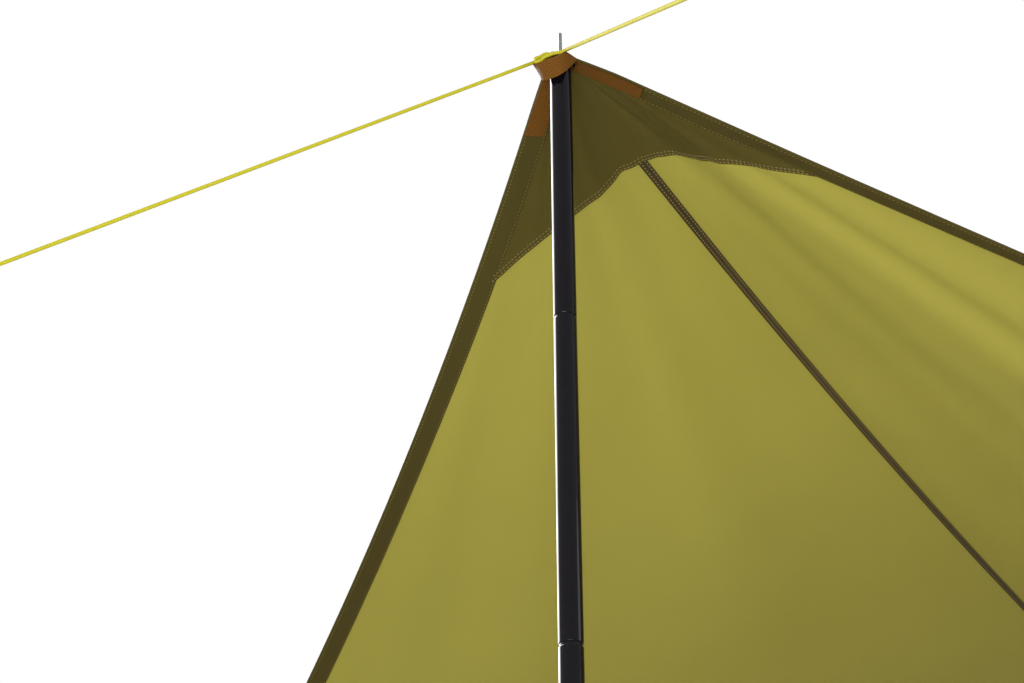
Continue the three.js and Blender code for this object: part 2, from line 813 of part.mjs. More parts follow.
makePanels();
makeSeamTape();
makeTipPatches();
makeCornerPatches();
makeBindings();
makeTipWebbing();
makeCornerTabs();
makeEyelets();
makePoles();
makeGuyRopes();
makeHitch();

export default tarp;
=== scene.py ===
import math

import bpy
import numpy as np
from mathutils import Matrix, Vector


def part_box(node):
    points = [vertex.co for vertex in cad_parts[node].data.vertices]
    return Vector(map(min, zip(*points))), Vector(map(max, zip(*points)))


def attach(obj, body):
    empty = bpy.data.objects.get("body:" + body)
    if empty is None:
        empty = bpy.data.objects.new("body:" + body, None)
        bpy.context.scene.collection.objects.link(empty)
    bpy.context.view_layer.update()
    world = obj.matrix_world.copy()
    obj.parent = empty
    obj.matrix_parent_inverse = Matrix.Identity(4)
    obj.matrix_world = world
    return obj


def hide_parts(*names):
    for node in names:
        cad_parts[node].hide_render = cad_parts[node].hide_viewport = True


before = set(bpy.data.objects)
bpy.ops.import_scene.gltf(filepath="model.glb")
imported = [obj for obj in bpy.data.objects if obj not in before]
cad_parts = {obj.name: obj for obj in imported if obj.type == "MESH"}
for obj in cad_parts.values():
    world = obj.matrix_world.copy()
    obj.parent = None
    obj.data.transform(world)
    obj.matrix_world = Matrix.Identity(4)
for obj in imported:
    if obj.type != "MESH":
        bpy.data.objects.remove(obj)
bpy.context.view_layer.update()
scene = bpy.context.scene
scene.view_settings.view_transform = "Standard"

# Poles, in metres as all sizes are
POLE_Y = 2.05
POLE_RADIUS = 0.014
POLE_WALL = 0.002
SECTION_LENGTH = 0.408
TOP_SECTION_LENGTH = 0.38
SECTION_COUNT = 5
POLE_FOOT_Z = 0.0033
PLUG_TOP_Z = 2.021409

# Canopy: its outline, how it hangs, and its folds
TIP_Z = 2.035333
CANOPY_AT_PIN = 2.024609
TIP_REACH = 0.0222
HALF_RIDGE = POLE_Y + TIP_REACH
HALF_WIDTH = 1.766
SETBACK = 1.116
EDGE_LENGTH = math.hypot(HALF_WIDTH, SETBACK)
FAN_ANGLE = math.atan2(HALF_WIDTH, SETBACK)
SHARE_LIMIT = 1.02
DROP = 1.121
BOW_IN = 0.0985
BOW_UP = 0.0704
RIDGE_SAG = 0.108
SIDE_SAG = 0.060
HANG_POWER = 2.3
SIDE_HOLLOW = 0.070
RIDGE_FLAT = 0.016
FLAT_FADE = 0.400
TIP_DROOP = 0.007
DROOP_REACH = 0.057
FOLD_HEIGHT = 0.009
FOLD_COUNT = 3
FOLD_START = 0.300
FOLD_FULL = 1.100
HEM_TILT = 0.0072

# Layers of cloth, by their heights above the canopy's lower face
CANOPY_THICK = 0.0008
PATCH_TOP = -0.0003
PATCH_THICK = 0.0006
PATCH_LOW = PATCH_TOP - PATCH_THICK
BINDING_TOP = -0.0012
BINDING_THICK = 0.0006
BINDING_LOW = BINDING_TOP - BINDING_THICK
HEM_TOP = CANOPY_THICK + 0.0009
WEBBING_TOP = -0.0021
WEBBING_THICK = 0.0015
WEBBING_LOW = WEBBING_TOP - WEBBING_THICK

# Sewn pieces and eyelets
WEBBING_WIDTH = 0.030
BINDING_WIDTH = 0.032
RIDGE_GAP = 0.00015
TAPE_WIDTH = 0.014
PATCH_DEPTH = 0.250
CORNER_REACH = 0.260
TAB_LENGTH = 0.110
STITCH_INSET = 0.0035
STITCH_PROUD = 0.0001
EYELET_BORE = 0.0033
EYELET_RIM = 0.0072
EYELET_FLANGE = 0.0008
EYELET_GAP = 0.0003
CORNER_EYELET_INSET = 0.046

ENDS = (("near", -1), ("far", 1))
SIDES = (("left", -1), ("right", 1))


# Camera at the photograph's viewing angle
def make_camera():
    data = bpy.data.cameras.new("photo_camera")
    data.lens = 59.77
    data.sensor_width = 36
    data.clip_start = 0.05
    camera = bpy.data.objects.new("photo_camera", data)
    camera.location = (0.852, -3.569, 0.5987)
    camera.rotation_euler = (math.radians(90 + 29.98), 0, math.radians(31.37))
    scene.collection.objects.link(camera)
    scene.camera = camera


make_camera()


# Materials
def material(name, colour, roughness, metallic=0.0):
    made = bpy.data.materials.new(name)
    made.use_nodes = True
    tree = made.node_tree
    shader = tree.nodes["Principled BSDF"]
    shader.inputs["Base Color"].default_value = (*colour, 1)
    shader.inputs["Roughness"].default_value = roughness
    shader.inputs["Metallic"].default_value = metallic
    return made, tree, shader


def node(tree, kind, **settings):
    made = tree.nodes.new(kind)
    for key, value in settings.items():
        if key in made.inputs:
            made.inputs[key].default_value = value
        else:
            setattr(made, key, value)
    return made


def mapped(tree, source, scale=(1, 1, 1)):
    coordinates = node(tree, "ShaderNodeTexCoord")
    mapping = node(tree, "ShaderNodeMapping", Scale=scale)
    tree.links.new(coordinates.outputs[source], mapping.inputs["Vector"])
    return mapping.outputs["Vector"]


def noise(tree, vector, scale, detail=3.0):
    made = node(tree, "ShaderNodeTexNoise", Scale=scale, Detail=detail)
    tree.links.new(vector, made.inputs["Vector"])
    return made.outputs["Fac"]


def wave(tree, vector, direction, scale):
    made = node(tree, "ShaderNodeTexWave", wave_type="BANDS", bands_direction=direction,
                Scale=scale)
    tree.links.new(vector, made.inputs["Vector"])
    return made.outputs["Fac"]


# A colour ramp along a value, as the shader's base colour
def paint(tree, shader, value, stops):
    made = node(tree, "ShaderNodeValToRGB")
    elements = made.color_ramp.elements
    while len(elements) < len(stops):
        elements.new(0.5)
    for element, (place, colour) in zip(elements, stops):
        element.position = place
        element.color = (*colour, 1)
    tree.links.new(value, made.inputs["Fac"])
    tree.links.new(made.outputs["Color"], shader.inputs["Base Color"])


def combine(tree, operation, first, second):
    made = node(tree, "ShaderNodeMath", operation=operation)
    for socket, value in zip(made.inputs, (first, second)):
        if isinstance(value, (int, float)):
            socket.default_value = value
        else:
            tree.links.new(value, socket)
    return made.outputs["Value"]


def bump(tree, shader, height, distance):
    made = node(tree, "ShaderNodeBump", Strength=1.0, Distance=distance)
    tree.links.new(height, made.inputs["Height"])
    tree.links.new(made.outputs["Normal"], shader.inputs["Normal"])


def shade(colour, factor):
    return tuple(min(channel * factor, 1) for channel in colour)


# Cloth: faint clouds of colour, and a weave and fine creases in its bump
def cloth_material(name, colour, variation, roughness, weave_scale, weave_height):
    made, tree, shader = material(name, colour, roughness)
    place = mapped(tree, "Object")
    stops = [(0.3, shade(colour, 1 - variation)), (0.7, shade(colour, 1 + variation))]
    paint(tree, shader, noise(tree, place, 2.2, 4), stops)
    warp, weft = wave(tree, place, "X", weave_scale), wave(tree, place, "Y", weave_scale)
    threads = combine(tree, "ADD", warp, weft)
    creases = noise(tree, place, 60, 5)
    bump(tree, shader, combine(tree, "ADD", threads, creases), weave_height)
    shader.inputs["Sheen Weight"].default_value = 0.1
    shader.inputs["Sheen Roughness"].default_value = 0.5
    shader.inputs["Sheen Tint"].default_value = (*shade(colour, 2.5), 1)
    shader.inputs["Specular IOR Level"].default_value = 0.08
    return made


# Webbing: ribs along its length with a fine grain
def webbing_material(name, dark, light):
    made, tree, shader = material(name, dark, 0.75)
    place = mapped(tree, "UV")
    ribs = combine(tree, "MULTIPLY", wave(tree, place, "Y", 122), 0.9)
    grain = combine(tree, "MULTIPLY", noise(tree, place, 900, 2), 0.1)
    mixed = combine(tree, "ADD", ribs, grain)
    paint(tree, shader, mixed, [(0.1, dark), (0.8, light)])
    bump(tree, shader, mixed, 0.0005)
    shader.inputs["Specular IOR Level"].default_value = 0.08
    return made


# Rope and thread: strands that run round both ways and cross
def rope_material(name, dark, light):
    made, tree, shader = material(name, light, 0.7)
    first = wave(tree, mapped(tree, "UV"), "DIAGONAL", 2.6)
    second = wave(tree, mapped(tree, "UV", (1, -1, 1)), "DIAGONAL", 2.6)
    braid = combine(tree, "MULTIPLY", first, second)
    paint(tree, shader, braid, [(0.0, dark), (0.5, light)])
    bump(tree, shader, braid, 0.00015)
    shader.inputs["Specular IOR Level"].default_value = 0.06
    return made


# Paint, metal and plastic: a slight speckle in colour and bump
def gloss_material(name, colour, roughness, specular, metallic=0.0, grain=90.0, depth=0.00006):
    made, tree, shader = material(name, colour, roughness, metallic)
    speckle = noise(tree, mapped(tree, "Object"), grain, 4)
    paint(tree, shader, speckle, [(0.35, shade(colour, 0.85)), (0.7, shade(colour, 1.15))])
    bump(tree, shader, speckle, depth)
    shader.inputs["Specular IOR Level"].default_value = specular
    return made


OLIVE = (0.385, 0.340, 0.060)
DARK_OLIVE = (0.092, 0.073, 0.0135)
canopy_cloth = cloth_material("canopy_cloth", OLIVE, 0.04, 0.62, 500, 0.00012)
patch_cloth = cloth_material("patch_cloth", DARK_OLIVE, 0.10, 0.7, 500, 0.00015)
binding_cloth = cloth_material("binding_cloth", (0.070, 0.054, 0.0118), 0.08, 0.7, 400, 0.00015)
tape_cloth = cloth_material("tape_cloth", (0.066, 0.046, 0.016), 0.15, 0.6, 400, 0.0002)
webbing_cloth = webbing_material("webbing_cloth", (0.078, 0.030, 0.004), (0.190, 0.078, 0.011))
guy_cord = rope_material("guy_cord", (0.46, 0.42, 0.022), (0.53, 0.485, 0.030))
thread = rope_material("tan_thread", (0.36, 0.295, 0.135), (0.48, 0.41, 0.22))
olive_thread = rope_material("olive_thread", (0.20, 0.165, 0.04), (0.27, 0.23, 0.06))
pole_paint = gloss_material("pole_paint", (0.0034, 0.0026, 0.0042), 0.07, 0.13)
pin_steel = gloss_material("pin_steel", (0.22, 0.23, 0.23), 0.3, 0.5, 1.0, 400)
black_plastic = gloss_material("black_plastic", (0.006, 0.006, 0.007), 0.45, 0.3, 0.0, 300, 0.0002)
eyelet_metal = gloss_material("eyelet_metal", (0.012, 0.012, 0.013), 0.35, 0.4, 0.0, 300)


# Mesh helpers
def piece(name, vertices, faces, look, uvs=None, smooth=True):
    mesh = bpy.data.meshes.new(name)
    mesh.from_pydata([tuple(map(float, point)) for point in vertices], [],
                     [tuple(map(int, face)) for face in faces])
    mesh.materials.append(look)
    if uvs is not None:
        uv_map = mesh.uv_layers.new(name="UVMap")
        corners = np.zeros(len(mesh.loops), dtype=np.int32)
        mesh.loops.foreach_get("vertex_index", corners)
        uv_map.data.foreach_set("uv", np.asarray(uvs, dtype=np.float32)[corners].ravel())
    mesh.polygons.foreach_set("use_smooth", [smooth] * len(mesh.polygons))
    made = bpy.data.objects.new(name, mesh)
    scene.collection.objects.link(made)
    return made


# Gives a piece its body, and hides the CAD nodes that it stands for
def dress(made, nodes=(), body="tarp"):
    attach(made, body)
    if nodes:
        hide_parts(*nodes)
    return made


def crease(made, degrees=35):
    made.data.set_sharp_from_angle(angle=math.radians(degrees))
    return made


def grid_faces(rows, columns, first=0, flip=False, closed=False):
    faces = []
    for row in range(rows - 1):
        for column in range(columns if closed else columns - 1):
            after = (column + 1) % columns
            a = first + row * columns + column
            b = first + row * columns + after
            c = first + (row + 1) * columns + after
            d = first + (row + 1) * columns + column
            faces.append((a, d, c, b) if flip else (a, b, c, d))
    return faces


# A tube of rings, whose ends meet where it is closed and are capped where it isn't
def tube_faces(rings, sides, closed=False):
    faces = grid_faces(rings, sides, closed=True)
    last = (rings - 1) * sides
    if closed:
        pairs = [(i, (i + 1) % sides) for i in range(sides)]
        return faces + [(last + i, last + after, after, i) for i, after in pairs]
    return faces + [tuple(range(sides))[::-1], tuple(range(last, last + sides))]


# A closed sheet between a lower and an upper grid of points, each rows by columns by 3
def slab(name, lower, upper, look, uvs=None):
    rows, columns = lower.shape[:2]
    count = rows * columns
    vertices = np.concatenate([lower.reshape(-1, 3), upper.reshape(-1, 3)])
    faces = grid_faces(rows, columns, 0, True) + grid_faces(rows, columns, count)
    rim = list(range(columns))
    rim += [row * columns + columns - 1 for row in range(1, rows)]
    rim += [(rows - 1) * columns + column for column in range(columns - 2, -1, -1)]
    rim += [row * columns for row in range(rows - 2, 0, -1)]
    for index, here in enumerate(rim):
        after = rim[(index + 1) % len(rim)]
        faces.append((here, after, after + count, here + count))
    if uvs is not None:
        uvs = np.concatenate([uvs.reshape(-1, 2)] * 2)
    return crease(piece(name, vertices, faces, look, uvs))


# A closed outline of radius and height, turned about an upright axis at a place
def lathe(name, outline, look, place, segments, turn=None):
    angles = np.linspace(0, 2 * math.pi, segments, endpoint=False)
    radii = np.array([point[0] for point in outline])
    heights = np.array([point[1] for point in outline])
    points = np.stack([
        radii[:, None] * np.cos(angles)[None, :],
        radii[:, None] * np.sin(angles)[None, :],
        np.repeat(heights[:, None], segments, axis=1),
    ], axis=-1).reshape(-1, 3)
    faces = tube_faces(len(outline), segments, True)
    if turn is not None:
        points = points @ np.array(turn).T
    return crease(piece(name, points + np.array(place), faces, look), 32)


# An outline with its inner corners rounded
def rounded(corners, radius, steps=4):
    outline = []
    for index, corner in enumerate(corners):
        corner = np.array(corner, dtype=float)
        if index in (0, len(corners) - 1):
            outline.append(tuple(corner))
            continue
        back = np.array(corners[index - 1]) - corner
        ahead = np.array(corners[index + 1]) - corner
        reach = min(radius, np.linalg.norm(back) / 2, np.linalg.norm(ahead) / 2)
        start = corner + back / np.linalg.norm(back) * reach
        stop = corner + ahead / np.linalg.norm(ahead) * reach
        for step in range(steps + 1):
            t = step / steps
            outline.append(tuple((1 - t) ** 2 * start + 2 * t * (1 - t) * corner + t * t * stop))
    return outline


# A smooth curve through all the points
def smooth_path(points, steps):
    points = [np.array(point, dtype=float) for point in points]
    padded = [2 * points[0] - points[1], *points, 2 * points[-1] - points[-2]]
    path = []
    for index in range(1, len(padded) - 2):
        a, b, c, d = padded[index - 1:index + 3]
        for step in range(steps):
            t = step / steps
            path.append(0.5 * (2 * b + (c - a) * t + (2 * a - 5 * b + 4 * c - d) * t * t
                               + (3 * b - a - 3 * c + d) * t ** 3))
    path.append(points[-1])
    return np.array(path)


# The distance along a path at each of its points
def distances(path):
    steps = np.linalg.norm(np.diff(path, axis=0), axis=1)
    return np.concatenate([[0], np.cumsum(steps)])


# A length of rope along a path
def tube(name, path, radius, sides, closed=False):
    path = np.asarray(path, dtype=float)
    if closed:
        tangents = np.roll(path, -1, axis=0) - np.roll(path, 1, axis=0)
    else:
        tangents = np.gradient(path, axis=0)
    tangents /= np.linalg.norm(tangents, axis=1)[:, None]
    side = np.cross(tangents[0], (0, 0, 1.0))
    if np.linalg.norm(side) < 1e-6:
        side = np.cross(tangents[0], (1.0, 0, 0))
    side /= np.linalg.norm(side)
    vertices, uvs = [], []
    for point, tangent, distance in zip(path, tangents, distances(path)):
        side = side - tangent * np.dot(side, tangent)
        side /= np.linalg.norm(side)
        up = np.cross(tangent, side)
        for corner in range(sides):
            angle = 2 * math.pi * corner / sides
            vertices.append(point + radius * (math.cos(angle) * side + math.sin(angle) * up))
            uvs.append((corner / sides, distance / (4 * math.pi * radius)))
    return piece(name, vertices, tube_faces(len(path), sides, closed), guy_cord, uvs)


# Guy ropes: taut legs that run out of the photograph to their runners and loops
GUY_SPREAD = math.radians(44)
GUY_FALL = math.radians(33.8)
MEETING = np.array([0, -POLE_Y - 0.0019, TIP_Z + 0.003])
GUY_START_OUT = 0.0078
ROPE_RADIUS = 0.0023
ROPE_SIDES = 14
LOOP_WIDTH = 0.022
KNOT_PLACE = 0.8347
RUNNER_PLACE = 0.96271
RUNNER_HALF_THICK = 0.0019
RUNNER_BEVEL = 0.0006

# Places along the leg and across it: straight out, round the end loop and back to the knot
STRAIGHT_COUNT = 10
ROPE_ROUTE = [
    (0, 0), (0.06, 0), (0.16, 0), (0.28, 0), (0.4, 0), (0.52, 0), (0.64, 0), (0.76, 0), (0.88, 0),
    (1.0, 0), (1.04, 0), (1.0455, 0.0015), (1.0495, 0.0055), (1.051, 0.011), (1.0495, 0.0165),
    (1.0455, 0.0205), (1.04, 0.022), (0.99, 0.022), (0.94, 0.022), (0.89, 0.022), (0.842, 0.022),
]


# Directions along a leg and level across it, and the point where it starts
def guy_frame(side):
    along = np.array([side * math.sin(GUY_SPREAD) * math.cos(GUY_FALL),
                      -math.cos(GUY_SPREAD) * math.cos(GUY_FALL), -math.sin(GUY_FALL)])
    across = np.array([side * math.cos(GUY_SPREAD), math.sin(GUY_SPREAD), 0])
    return along, across, MEETING + along * GUY_START_OUT / math.cos(GUY_FALL)


# A closed trefoil knot
def knot_path(centre, axis, across):
    steps, size, depth = 72, 0.00122, 0.0042
    up = np.cross(axis, across)
    path = []
    for step in range(steps):
        t = 2 * math.pi * step / steps
        path.append(centre + size * ((math.sin(t) + 2 * math.sin(2 * t)) * across
                                     + (math.cos(t) - 2 * math.cos(2 * t)) * up)
                    - depth * math.sin(3 * t) * axis)
    return path


def arc(x, radius, start, sweep, steps):
    angles = [start + sweep * step / steps for step in range(steps + 1)]
    return [(x + radius * math.cos(angle), radius * math.sin(angle)) for angle in angles]


# The runner's bar, a little narrower at its waist, and its two holes
def runner_loops():
    hole, end, waist = ROPE_RADIUS + 0.0005, ROPE_RADIUS + 0.0055, ROPE_RADIUS + 0.0046
    outer = arc(LOOP_WIDTH, end, -math.pi / 2, math.pi, 48) + [(LOOP_WIDTH / 2, waist)]
    outer += arc(0, end, math.pi / 2, math.pi, 48) + [(LOOP_WIDTH / 2, -waist)]
    holes = [arc(x, hole + RUNNER_BEVEL, 0, 2 * math.pi, 40)[:-1] for x in (0, LOOP_WIDTH)]
    return [outer, *holes]


def make_runner(side_name, along, across, start):
    data = bpy.data.curves.new("runner_outline", "CURVE")
    data.dimensions = "2D"
    data.fill_mode = "BOTH"
    for loop in runner_loops():
        spline = data.splines.new("POLY")
        spline.points.add(len(loop) - 1)
        spline.points.foreach_set("co", [value for x, y in loop for value in (x, y, 0, 1)])
        spline.use_cyclic_u = True
    data.extrude = RUNNER_HALF_THICK
    data.bevel_depth = RUNNER_BEVEL
    data.bevel_resolution = 3
    data.offset = -RUNNER_BEVEL
    source = bpy.data.objects.new("runner_outline", data)
    scene.collection.objects.link(source)
    graph = bpy.context.evaluated_depsgraph_get()
    mesh = bpy.data.meshes.new_from_object(source.evaluated_get(graph))
    bpy.data.objects.remove(source)
    up = np.cross(along, across)
    place = start + along * RUNNER_PLACE
    rows = [[across[i], up[i], along[i], place[i]] for i in range(3)]
    mesh.transform(Matrix(rows + [[0, 0, 0, 1]]))
    mesh.materials.clear()
    mesh.materials.append(black_plastic)
    mesh.name = f"runner_bar_{side_name}"
    mesh.polygons.foreach_set("use_smooth", [True] * len(mesh.polygons))
    made = bpy.data.objects.new(mesh.name, mesh)
    scene.collection.objects.link(made)
    return dress(crease(made), [f"runner_{side_name}"], f"runner_{side_name}")


# The hitch: a turn behind the pin, in degrees, then a bight on the left leg, as places out along
# the leg and up from it
TURN_RADIUS = 0.0052
TURN_START, TURN_SWEEP = -28, 236
TURN_STEPS = 16
BIGHT_START = 0.0047
BIGHT = ((0, 0), (0.0014, 0.0036), (0.0054, 0.0056), (0.0100, 0.0052), (0.0140, 0.0044),
         (0.0190, 0.0045), (0.0240, 0.0044))

# The strand that runs from leg to leg in front of the canopy's tip, and where it joins the legs
FRONT_STRAND = ((-0.0165, -2.0748, 2.0158), (-0.008, -2.0768, 2.0168), (0, -2.0773, 2.0170),
                (0.008, -2.0768, 2.0168), (0.0165, -2.0748, 2.0158))
FRONT_JOIN = (0.033, 0.040)


def make_hitch():
    right, _, right_start = guy_frame(1)
    left, across, left_start = guy_frame(-1)
    centre = np.array([0, -POLE_Y, TIP_Z + 0.0014])
    path = [right_start - right * 0.001]
    for step in range(TURN_STEPS + 1):
        angle = math.radians(TURN_START + TURN_SWEEP * step / TURN_STEPS)
        path.append(centre + [TURN_RADIUS * math.cos(angle), TURN_RADIUS * math.sin(angle), 0])
    path.append(left_start - left * 0.001)
    up = np.cross(left, across)
    up = up if up[2] > 0 else -up
    path += [left_start + left * (BIGHT_START + out) + up * rise for out, rise in BIGHT]
    wraps = tube("guy_rope_wraps", smooth_path(path, 4), ROPE_RADIUS * 0.98, ROPE_SIDES)
    dress(wraps, ["guy_rope_hitch"])
    front = [left_start + left * reach for reach in FRONT_JOIN[::-1]]
    front += [np.array(point) for point in FRONT_STRAND]
    front += [right_start + right * reach for reach in FRONT_JOIN]
    strand = tube("guy_rope_front", smooth_path(front, 6), ROPE_RADIUS * 0.97, ROPE_SIDES)
    return [wraps, dress(strand)]


def make_ropes():
    hitch = make_hitch()
    for side_name, side in SIDES:
        along, across, start = guy_frame(side)
        points = [start + along * a + across * b for a, b in ROPE_ROUTE]
        turning = smooth_path(points[STRAIGHT_COUNT:], 5)
        path = np.concatenate([np.array(points[:STRAIGHT_COUNT]), turning])
        leg = tube(f"guy_line_{side_name}", path, ROPE_RADIUS, ROPE_SIDES)
        dress(leg, [f"guy_rope_{side_name}"])
        centre = start + along * KNOT_PLACE + across * LOOP_WIDTH
        knot = tube(f"stopper_{side_name}", knot_path(centre, along, across), ROPE_RADIUS, 12, True)
        dress(knot, [f"stopper_knot_{side_name}"])
        runner = make_runner(side_name, along, across, start)


make_ropes()


def smoothstep(value, low, high):
    t = np.clip((value - low) / (high - low), 0, 1)
    return t * t * (3 - 2 * t)


# Rises from 0 to 1 between the first two limits, and falls back to 0 between the last two
def window(value, rise_start, rise_end, fall_start, fall_end):
    rise = smoothstep(value, rise_start, rise_end)
    return rise * (1 - smoothstep(value, fall_start, fall_end))


def smooth_max(a, b, blend):
    return 0.5 * (a + b + np.sqrt((a - b) ** 2 + blend * blend))


# 0 at both ends of a span from 0 to 1, and 1 at its middle
def arch(t):
    return 4 * t * (1 - t)


# A peak at 0 with a width on either side, softened at its top
def tent(offset, left, right):
    rounding = 0.004
    soft = np.sqrt(offset * offset + rounding ** 2) - rounding
    wide = np.where(offset < 0, left, right)
    return smooth_max(0, 1 - soft / np.maximum(wide, 1e-4), 0.08)


# Plan of the near right edge: u runs from the ridge (0) to the side corner (1)
def edge_plan(u):
    bow = BOW_IN * arch(u)
    x = HALF_WIDTH * u - bow * SETBACK / EDGE_LENGTH
    y = -HALF_RIDGE + SETBACK * u + bow * HALF_WIDTH / EDGE_LENGTH
    return x, y


# From the nearer tip: how far along the ridge, how far in a line, and the angle from the ridge
def from_tip(x, y):
    depth = HALF_RIDGE - np.abs(y)
    return depth, np.hypot(x, depth), np.arctan2(x, np.maximum(depth, 1e-6))


# The far end is the near end turned by half a turn, so opposite quarters have the same folds
def on_right(x, y):
    return (x > 0) == (y < 0)


# Even folds between the tips, the same as in the solids
def main_folds(x, y):
    _, reach, angle = from_tip(x, y)
    share = np.minimum(np.abs(angle) / FAN_ANGLE, 1)
    height = FOLD_HEIGHT * window(reach, FOLD_START, FOLD_FULL, FOLD_FULL, HALF_RIDGE)
    return height * np.sin(math.pi * share) * np.sin(2 * math.pi * FOLD_COUNT * share)


# Small pulls in the cloth that the solids leave out: they fan out from each tip
def small_pulls(x, y):
    _, reach, angle = from_tip(x, y)
    hem = np.clip(1.2 - np.abs(angle), 0, 1)
    near = np.sign(-y)
    long = 0.0016 * np.sin(23 * angle + 0.8 * near) + 0.0010 * np.sin(41 * angle + 2.1)
    tight = 0.0007 * np.sin(34 * angle + 1.0) + 0.0005 * np.sin(57 * angle + 2.0 * near)
    long = long * window(reach, 0.12, 0.6, 1.0, 2.2)
    tight = tight * window(reach, 0.05, 0.13, 0.24, 0.55)
    return (long + tight) * hem


# Broad folds by angle from each tip: each a share of the fan, its width, and the step in height
# that the cloth makes there half a metre out
RIGHT_STEPS = ((0.06, 0.03, 0.0040), (0.325, 0.095, -0.0350), (0.555, 0.030, 0.0120),
               (0.625, 0.020, -0.0080), (0.700, 0.110, 0.0270))
LEFT_STEPS = ((0.17, 0.035, -0.0045), (0.28, 0.03, 0.0055), (0.41, 0.05, -0.0065),
              (0.56, 0.04, 0.0045), (0.72, 0.03, -0.0045), (0.80, 0.03, 0.0050))
STEP_REACH, STEP_REACH_MAX = 0.5, 0.75


def step_profile(share, steps):
    height = 0 * share
    for centre, width, rise in steps:
        step = np.tanh((share - centre) / width) + math.tanh(centre / width)
        height = height + rise * 0.5 * step
    return height


def broad_folds(x, y):
    _, reach, angle = from_tip(x, y)
    share = np.abs(angle) / FAN_ANGLE
    grow = window(reach, 0.14, 0.36, 0.9, 2.1) * np.minimum(reach, STEP_REACH_MAX) / STEP_REACH
    hem = 1 - smoothstep(share, 0.80, 0.92)
    right, left = step_profile(share, RIGHT_STEPS), step_profile(share, LEFT_STEPS)
    return np.where(on_right(x, y), right, left) * grow * hem


# Two creases under each tip patch, one on each side of the ridge
def tip_creases(x, y):
    depth, _, _ = from_tip(x, y)
    across = np.where(y < 0, x, -x)
    place = 0.013 + 0.306 * np.maximum(depth - 0.075, 0)
    left = 0.009 * tent(across + 0.033, 0.032, 0.024)
    right = 0.012 * tent(across - place, place, 0.055)
    return window(depth, 0.05, 0.20, 0.26, 0.50) * (left + right)


# The near right hem, and the one opposite it, hang steeper than the cloth beside them
def hem_tilt(x, y):
    depth, _, _ = from_tip(x, y)
    along = (np.abs(x) * HALF_WIDTH + depth * SETBACK) / EDGE_LENGTH ** 2
    inward = (depth * HALF_WIDTH - np.abs(x) * SETBACK) / EDGE_LENGTH - BOW_IN * arch(along)
    lift = window(inward, 0.0, 0.034, 0.08, 0.42) * window(along, 0.08, 0.16, 0.55, 0.95)
    return np.where(on_right(x, y), HEM_TILT * lift, 0.0)


# Height of the canopy's lower face: u runs from the ridge (0) to the side edge (1), and w from
# the near edge (0) to the far one (1)
def sheet_z(u, w, x, y):
    depth, _, _ = from_tip(x, y)
    flat = RIDGE_FLAT / 2 / HALF_WIDTH * (1 - smoothstep(depth, DROOP_REACH, FLAT_FADE))
    slope = smooth_max(u, flat, 0.0016)
    sag = RIDGE_SAG + (SIDE_SAG - RIDGE_SAG) * u
    hang = 1 - np.abs(1 - 2 * w) ** HANG_POWER
    droop = TIP_DROOP * smooth_max(0, 1 - depth / DROOP_REACH, 0.08)
    z = TIP_Z - DROP * slope + BOW_UP * arch(slope) - sag * hang - droop
    pulls = small_pulls(x, y) + broad_folds(x, y) + tip_creases(x, y) + hem_tilt(x, y)
    return z + main_folds(x, y) + pulls


def canopy_point(u, w, side=1):
    ex, ey = edge_plan(u)
    y = ey * (1 - 2 * w)
    x = side * (ex - SIDE_HOLLOW * u * u * arch(w))
    return np.stack([x, y, sheet_z(u, w, x, y)], axis=-1)


# The edge's distance from the ridge at u, and the share w that y is on the way from end to end
def edge_and_row(u, y):
    ex, ey = edge_plan(np.clip(u, 0, SHARE_LIMIT))
    return ex, np.clip((1 - y / ey) / 2, 0, 1)


# Height of the lower face over a place in plan, whose share u is found step by step
def canopy_z(x, y):
    reach = np.abs(x)
    u = reach / HALF_WIDTH
    for _ in range(14):
        ex, w = edge_and_row(u, y)
        u = u + (reach - (ex - SIDE_HOLLOW * u * u * arch(w))) / HALF_WIDTH
    _, w = edge_and_row(u, y)
    return sheet_z(np.clip(u, 0, SHARE_LIMIT), w, x, y)


# Every layer of cloth lies at a height above the canopy's lower face, or below it where negative
def layer(plan, height):
    x, y = plan[..., 0], plan[..., 1]
    return np.stack([x, y, canopy_z(x, y) + height], axis=-1)


def layer_slab(name, plan, top, thick, look, uvs=None):
    upper = layer(plan, top)
    lower = upper.copy()
    lower[..., 2] -= thick
    return slab(name, lower, upper, look, uvs)


# The canopy is one sheet, with closer columns by the ridge and closer rows by both edges
def make_canopy():
    columns, rows = 96, 170
    t = np.linspace(0, 1, columns + 1)
    u = 0.3 * t + 0.7 * t ** 2.4
    s = np.linspace(0, 1, rows + 1)
    w = 0.55 * s + 0.45 * 0.5 * (1 - np.cos(math.pi * s))
    signed = np.concatenate([-u[:0:-1], u])
    uu, ww = np.meshgrid(np.abs(signed), w)
    lower = canopy_point(uu, ww, np.where(signed < 0, -1, 1)[None, :])
    upper = lower.copy()
    upper[..., 2] += CANOPY_THICK
    made = slab("canopy_sheet", lower, upper, canopy_cloth)
    dress(made, ["canopy_left_panel", "canopy_right_panel"])
    return made


canopy = make_canopy()


# Plans are made for the near right edge or corner, and mirrored to the other ones
def edge_normal(u):
    ax, ay = edge_plan(np.minimum(u + 0.01, 1))
    bx, by = edge_plan(np.maximum(u - 0.01, 0))
    length = np.hypot(ax - bx, ay - by)
    return -(ay - by) / length, (ax - bx) / length


def edge_places(u, inward):
    ex, ey = edge_plan(u)
    nx, ny = edge_normal(u)
    return np.stack([ex + nx * inward, ey + ny * inward], axis=-1)


def mirrored(plan, side, end):
    return plan * np.array([side, -end])


